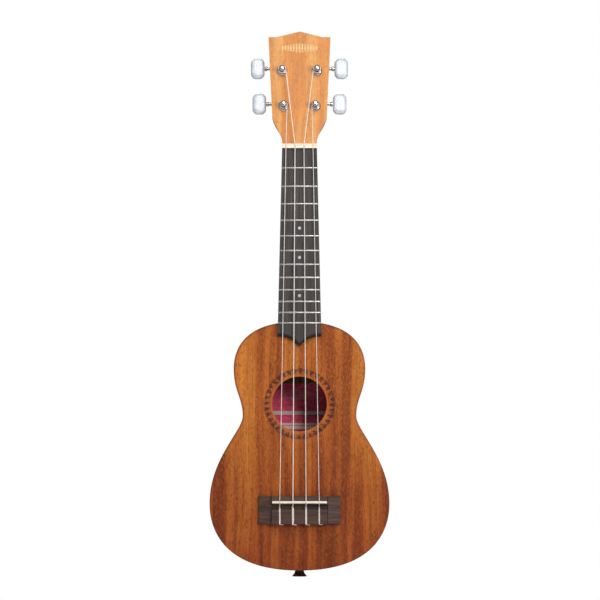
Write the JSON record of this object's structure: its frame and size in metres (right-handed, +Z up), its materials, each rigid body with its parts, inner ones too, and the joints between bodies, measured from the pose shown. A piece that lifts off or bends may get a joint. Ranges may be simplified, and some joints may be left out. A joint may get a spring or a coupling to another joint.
{
  "type": "ukulele",
  "caption": "Small waisted wooden string instrument with a round soundhole, fretted neck, tie bridge and geared tuners on a leaning headstock.",
  "frame": {"origin": "on the centreline, on the back of the neck at the nut's playing edge, where a wall hanger's yoke carries the instrument", "axes": "+Z up the neck towards the headstock, +Y out of the back, +X to the treble side seen from the front, so the soundboard faces -Y"},
  "size_m": [0.1778, 0.0695, 0.5404],
  "materials": {
    "body_mahogany": "satin open-pore varnish over ribbon-striped mahogany",
    "neck_mahogany": "satin varnish over pale straight-grained mahogany",
    "inner_wood": "raw planed softwood",
    "fretboard_wood": "dark close-grained wood, oiled",
    "bridge_wood": "dark brown wood, oiled",
    "bone": "polished bone substitute",
    "fret_wire": "polished nickel silver",
    "nylon": "clear monofilament",
    "plated_steel": "bright nickel plate",
    "chrome": "bright chrome",
    "brass": "cut brass",
    "pearl_plastic": "white pearl, polished",
    "black_plastic": "moulded, semi-gloss"
  },
  "bodies": {
    "instrument": {"soundboard": "body_mahogany", "back": "body_mahogany", "side_bass": "body_mahogany", "side_treble": "body_mahogany", "neck_block": "inner_wood", "tail_block": "inner_wood", "lining_top_bass": "inner_wood", "lining_top_treble": "inner_wood", "lining_back_bass": "inner_wood", "lining_back_treble": "inner_wood", "brace_top_upper": "inner_wood", "brace_top_lower": "inner_wood", "brace_back_upper": "inner_wood", "brace_back_lower": "inner_wood", "strap_button": "black_plastic", "neck": "neck_mahogany", "fretboard": "fretboard_wood", "nut": "bone", "fret_01": "fret_wire", "fret_02": "fret_wire", "fret_03": "fret_wire", "fret_04": "fret_wire", "fret_05": "fret_wire", "fret_06": "fret_wire", "fret_07": "fret_wire", "fret_08": "fret_wire", "fret_09": "fret_wire", "fret_10": "fret_wire", "fret_11": "fret_wire", "fret_12": "fret_wire", "bridge": "bridge_wood", "saddle": "bone", "string_g": "nylon", "string_c": "nylon", "string_e": "nylon", "string_a": "nylon", "tuner_plate_bass_lower": "plated_steel", "tuner_plate_treble_lower": "plated_steel", "tuner_plate_bass_upper": "plated_steel", "tuner_plate_treble_upper": "plated_steel", "ferrule_bass_lower": "chrome", "ferrule_treble_lower": "chrome", "ferrule_bass_upper": "chrome", "ferrule_treble_upper": "chrome"},
    "winder_bass_lower": {"worm_shaft_bass_lower": "plated_steel", "button_bass_lower": "pearl_plastic"},
    "spindle_bass_lower": {"post_bass_lower": "chrome", "gear_bass_lower": "brass"},
    "winder_treble_lower": {"worm_shaft_treble_lower": "plated_steel", "button_treble_lower": "pearl_plastic"},
    "spindle_treble_lower": {"post_treble_lower": "chrome", "gear_treble_lower": "brass"},
    "winder_bass_upper": {"worm_shaft_bass_upper": "plated_steel", "button_bass_upper": "pearl_plastic"},
    "spindle_bass_upper": {"post_bass_upper": "chrome", "gear_bass_upper": "brass"},
    "winder_treble_upper": {"worm_shaft_treble_upper": "plated_steel", "button_treble_upper": "pearl_plastic"},
    "spindle_treble_upper": {"post_treble_upper": "chrome", "gear_treble_upper": "brass"}
  },
  "joints": [
    {"name": "turn_bass_lower", "type": "hinge", "parent": "instrument", "child": "winder_bass_lower", "pos_m": [-0.0157, 0.01321, 0.0443], "axis": [1, 0, 0], "continuous": true},
    {"name": "wind_bass_lower", "type": "hinge", "parent": "instrument", "child": "spindle_bass_lower", "pos_m": [-0.0157, -0.00543, 0.04189], "axis": [0, -0.9703, 0.2419], "continuous": true},
    {"name": "turn_treble_lower", "type": "hinge", "parent": "instrument", "child": "winder_treble_lower", "pos_m": [0.0157, 0.01321, 0.0443], "axis": [1, 0, 0], "continuous": true},
    {"name": "wind_treble_lower", "type": "hinge", "parent": "instrument", "child": "spindle_treble_lower", "pos_m": [0.0157, -0.00543, 0.04189], "axis": [0, -0.9703, 0.2419], "continuous": true},
    {"name": "turn_bass_upper", "type": "hinge", "parent": "instrument", "child": "winder_bass_upper", "pos_m": [-0.0173, 0.02201, 0.07962], "axis": [1, 0, 0], "continuous": true},
    {"name": "wind_bass_upper", "type": "hinge", "parent": "instrument", "child": "spindle_bass_upper", "pos_m": [-0.0173, 0.00338, 0.0772], "axis": [0, -0.9703, 0.2419], "continuous": true},
    {"name": "turn_treble_upper", "type": "hinge", "parent": "instrument", "child": "winder_treble_upper", "pos_m": [0.0173, 0.02201, 0.07962], "axis": [1, 0, 0], "continuous": true},
    {"name": "wind_treble_upper", "type": "hinge", "parent": "instrument", "child": "spindle_treble_upper", "pos_m": [0.0173, 0.00338, 0.0772], "axis": [0, -0.9703, 0.2419], "continuous": true}
  ],
  "couplings": [
    {"joint": "wind_bass_lower", "follows": "turn_bass_lower", "ratio": 0.071429},
    {"joint": "wind_treble_lower", "follows": "turn_treble_lower", "ratio": 0.071429},
    {"joint": "wind_bass_upper", "follows": "turn_bass_upper", "ratio": 0.071429},
    {"joint": "wind_treble_upper", "follows": "turn_treble_upper", "ratio": 0.071429}
  ]
}
